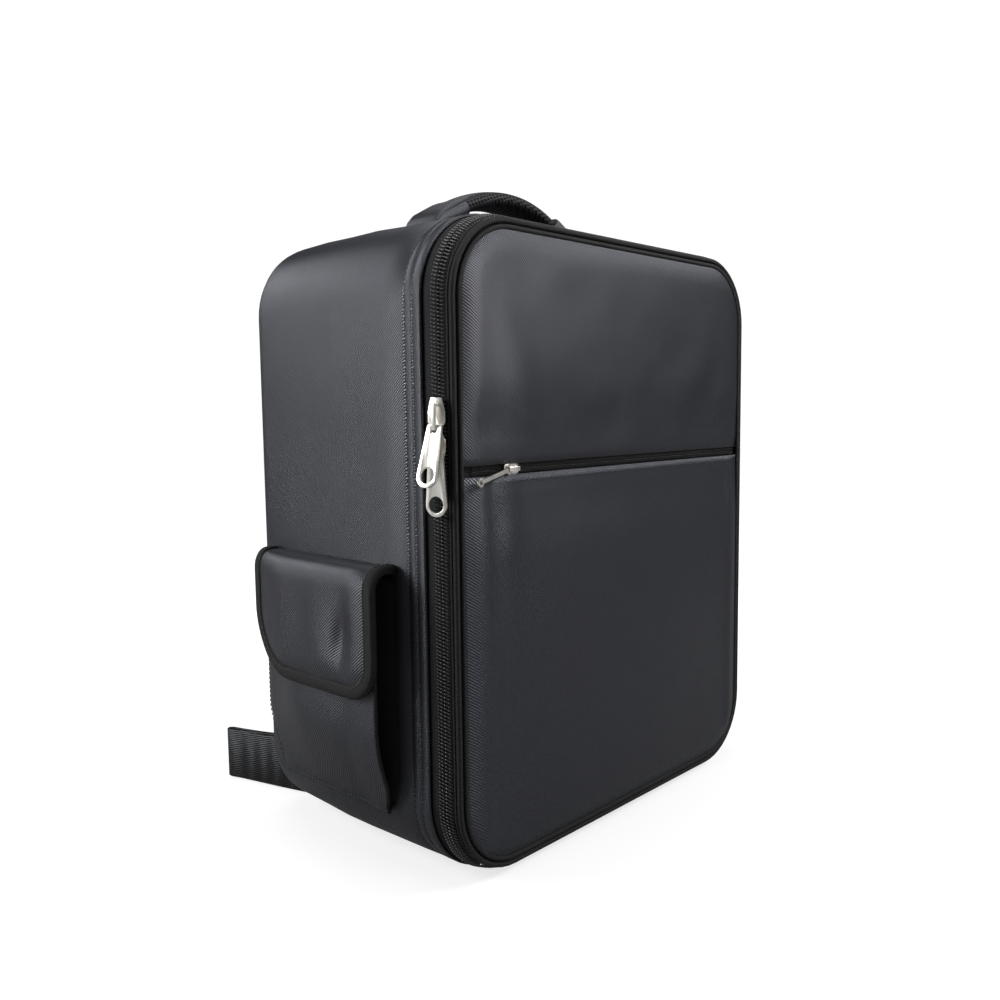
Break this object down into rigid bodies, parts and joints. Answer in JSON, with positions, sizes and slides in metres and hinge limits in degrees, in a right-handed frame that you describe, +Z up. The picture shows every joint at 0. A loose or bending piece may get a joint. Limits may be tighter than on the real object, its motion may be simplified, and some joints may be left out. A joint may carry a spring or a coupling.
{
  "type": "drone carrying case",
  "caption": "Padded upright backpack case for a drone: zip-round front door, front pocket, flapped side pockets, grab handle and shoulder straps.",
  "frame": {"origin": "middle of the flat base, on the surface that the case stands on", "axes": "+Z up, +X along the door to the right as seen from the front, +Y from the door to the back, so the door faces -Y"},
  "size_m": [0.433, 0.3207, 0.51],
  "materials": {
    "charcoal_nylon": "satin",
    "black_tape": "matt",
    "black_webbing": "matt",
    "black_binding": "satin",
    "zip_coil": "gloss",
    "foam": "matt",
    "stiffener": "matt",
    "grey_lining": "matt",
    "air_mesh": "matt",
    "nickel": "polished",
    "buckle_plastic": "satin"
  },
  "bodies": {
    "case": {"gusset_panel": "charcoal_nylon", "base_panel": "charcoal_nylon", "back_panel": "charcoal_nylon", "gusset_foam": "foam", "back_board": "stiffener", "back_foam": "foam", "lining": "grey_lining", "case_zip_tape": "black_tape", "case_zip_coil": "zip_coil", "door_hinge_strip": "charcoal_nylon", "shelf_divider": "grey_lining", "remote_divider": "grey_lining", "battery_divider": "grey_lining", "drone_strap": "black_webbing", "back_pads": "air_mesh", "strap_yoke": "charcoal_nylon", "bottom_tabs": "charcoal_nylon", "handle_patches": "black_webbing", "left_pocket": "charcoal_nylon", "right_pocket": "charcoal_nylon", "pocket_loop_patches": "black_tape", "left_webbing": "black_webbing", "right_webbing": "black_webbing"},
    "door": {"door_upper_panel": "charcoal_nylon", "door_pocket_panel": "charcoal_nylon", "door_edge_strip": "black_tape", "door_piping": "black_binding", "door_board": "stiffener", "door_foam": "foam", "door_lining": "grey_lining", "door_mesh_pocket": "air_mesh", "door_zip_tape": "black_tape", "door_zip_coil": "zip_coil", "pocket_zip_tape": "black_tape", "pocket_zip_coil": "zip_coil"},
    "upper_slider": {"upper_slider": "nickel"},
    "upper_pull": {"upper_pull": "nickel"},
    "lower_slider": {"lower_slider": "nickel"},
    "lower_pull": {"lower_pull": "nickel"},
    "front_slider": {"front_slider": "nickel"},
    "front_pull": {"front_pull": "nickel"},
    "left_flap_top": {"left_flap_top": "charcoal_nylon"},
    "left_flap": {"left_flap": "charcoal_nylon", "left_flap_binding": "black_binding", "left_flap_hook": "black_tape"},
    "right_flap_top": {"right_flap_top": "charcoal_nylon"},
    "right_flap": {"right_flap": "charcoal_nylon", "right_flap_binding": "black_binding", "right_flap_hook": "black_tape"},
    "handle": {"handle_sleeves": "charcoal_nylon", "handle_grip": "air_mesh", "handle_core": "foam"},
    "left_strap": {"left_strap_pad": "charcoal_nylon", "left_ladder_lock": "buckle_plastic"},
    "right_strap": {"right_strap_pad": "charcoal_nylon", "right_ladder_lock": "buckle_plastic"}
  },
  "joints": [
    {"name": "door_open", "type": "hinge", "parent": "case", "child": "door", "pos_m": [0, -0.11, 0.005], "axis": [1, 0, 0], "range_deg": [0, 88]},
    {"name": "upper_slider_travel", "type": "slide", "parent": "case", "child": "upper_slider", "axis": [0, 0, 1], "range_m": [0, 0.063]},
    {"name": "upper_pull_swing", "type": "hinge", "parent": "upper_slider", "child": "upper_pull", "pos_m": [-0.19083, -0.10223, 0.3175], "axis": [-0.225, 0.9744, 0], "range_deg": [0, 110]},
    {"name": "lower_slider_travel", "type": "slide", "parent": "case", "child": "lower_slider", "axis": [0, 0, -1], "range_m": [0, 0.23]},
    {"name": "lower_pull_swing", "type": "hinge", "parent": "lower_slider", "child": "lower_pull", "pos_m": [-0.19083, -0.10223, 0.2995], "axis": [-0.225, 0.9744, 0], "range_deg": [0, 110]},
    {"name": "front_slider_travel", "type": "slide", "parent": "door", "child": "front_slider", "axis": [1, 0, 0], "range_m": [0, 0.28]},
    {"name": "front_pull_swing", "type": "hinge", "parent": "front_slider", "child": "front_pull", "pos_m": [-0.133, -0.1144, 0.287], "axis": [-0.1736, 0, 0.9848], "range_deg": [-6, 118]},
    {"name": "left_flap_lift", "type": "hinge", "parent": "case", "child": "left_flap_top", "pos_m": [-0.192, 0, 0.2192], "axis": [0, 1, 0], "range_deg": [0, 76]},
    {"name": "left_flap_unfold", "type": "hinge", "parent": "left_flap_top", "child": "left_flap", "pos_m": [-0.212, 0, 0.217], "axis": [0, 1, 0], "range_deg": [0, 76]},
    {"name": "right_flap_lift", "type": "hinge", "parent": "case", "child": "right_flap_top", "pos_m": [0.192, 0, 0.2192], "axis": [0, -1, 0], "range_deg": [0, 76]},
    {"name": "right_flap_unfold", "type": "hinge", "parent": "right_flap_top", "child": "right_flap", "pos_m": [0.212, 0, 0.217], "axis": [0, -1, 0], "range_deg": [0, 76]},
    {"name": "handle_lean", "type": "hinge", "parent": "case", "child": "handle", "pos_m": [0, 0.02, 0.4616], "axis": [1, 0, 0], "range_deg": [-40, 40], "stiffness_Nm_per_rad": 0.25},
    {"name": "left_strap_swing", "type": "hinge", "parent": "case", "child": "left_strap", "pos_m": [-0.055, 0.1158, 0.405], "axis": [1, 0, 0], "range_deg": [0, 30]},
    {"name": "right_strap_swing", "type": "hinge", "parent": "case", "child": "right_strap", "pos_m": [0.055, 0.1158, 0.405], "axis": [1, 0, 0], "range_deg": [0, 30]}
  ],
  "couplings": [
    {"joint": "lower_pull_swing", "follows": "upper_pull_swing", "ratio": 1},
    {"joint": "left_flap_unfold", "follows": "left_flap_lift", "ratio": 1},
    {"joint": "right_flap_unfold", "follows": "right_flap_lift", "ratio": 1}
  ]
}
